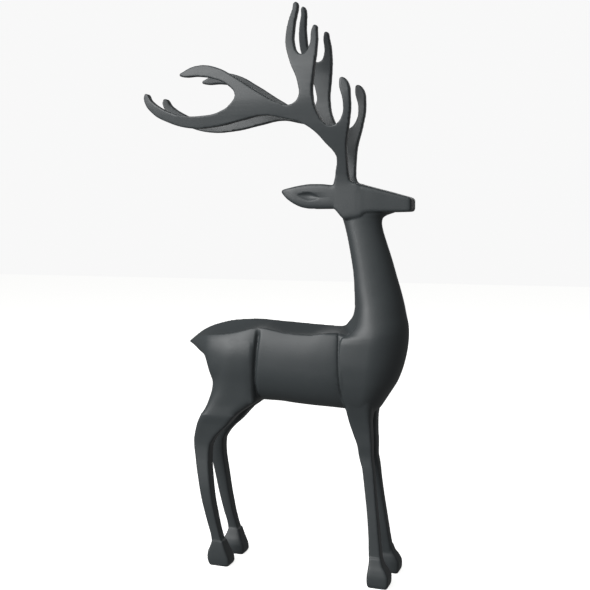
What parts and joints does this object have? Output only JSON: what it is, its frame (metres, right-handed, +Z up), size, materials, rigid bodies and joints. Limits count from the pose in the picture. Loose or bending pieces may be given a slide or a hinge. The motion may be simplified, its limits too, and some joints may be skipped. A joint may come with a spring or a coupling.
{
  "type": "deer figurine",
  "caption": "Standing stag figurine in dark grey painted cast metal, with tall palmate antlers swept back, a long upright neck and slim legs on small hooves.",
  "frame": {"origin": "middle of the figure's box, on the ground under it", "axes": "+X the way the deer faces, +Y to its left, +Z up"},
  "size_m": [0.2432, 0.0571, 0.4969],
  "materials": {
    "powder_coat": "dark grey powder coat, satin, the same all over"
  },
  "bodies": {
    "root": {"deer": "powder_coat"}
  },
  "joints": []
}
